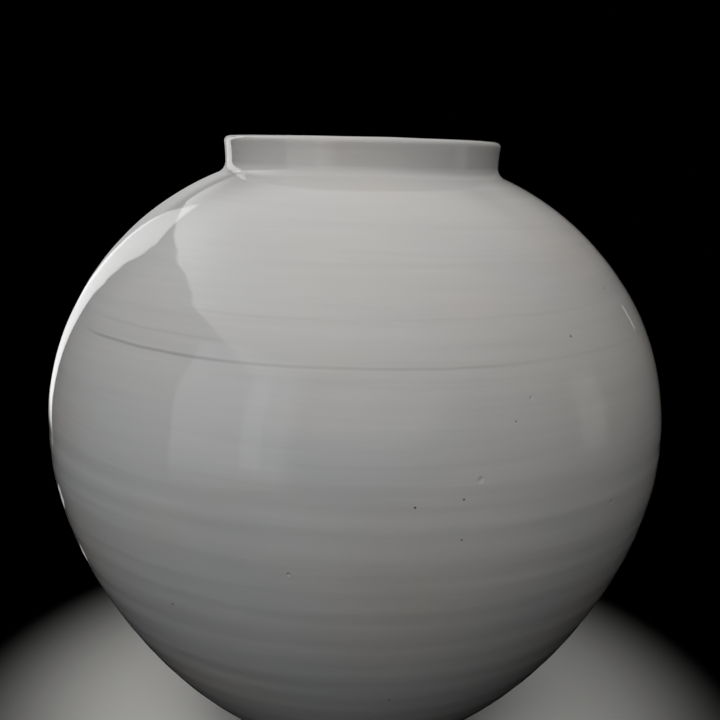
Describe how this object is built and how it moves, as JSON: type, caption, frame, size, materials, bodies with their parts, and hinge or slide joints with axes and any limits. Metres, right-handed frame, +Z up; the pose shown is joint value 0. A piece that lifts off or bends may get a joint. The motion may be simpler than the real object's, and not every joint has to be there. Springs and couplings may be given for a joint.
{
  "type": "korean moon jar",
  "caption": "Large round white porcelain jar thrown as bowls luted at the belly, with a low upright collar round its wide mouth and a narrow foot ring.",
  "frame": {"origin": "centre of the foot ring, on the surface that the jar stands on", "axes": "+Z up along the axis that the jar was thrown about, out of its mouth"},
  "size_m": [0.44, 0.44, 0.4398],
  "materials": {
    "glazed_porcelain": "white porcelain under a glossy clear glaze, with faint throwing rings and scattered iron specks",
    "bare_porcelain": "porcelain left bare of glaze on the standing edge, matte",
    "luting_slip": "fired porcelain slip, sealed inside the joints"
  },
  "bodies": {
    "root": {"foot_ring": "bare_porcelain", "foot_slip": "luting_slip", "lower_bowl": "glazed_porcelain", "belly_slip": "luting_slip", "seam_coil": "glazed_porcelain", "upper_bowl": "glazed_porcelain", "collar_slip": "luting_slip", "neck_collar": "glazed_porcelain"}
  },
  "joints": []
}
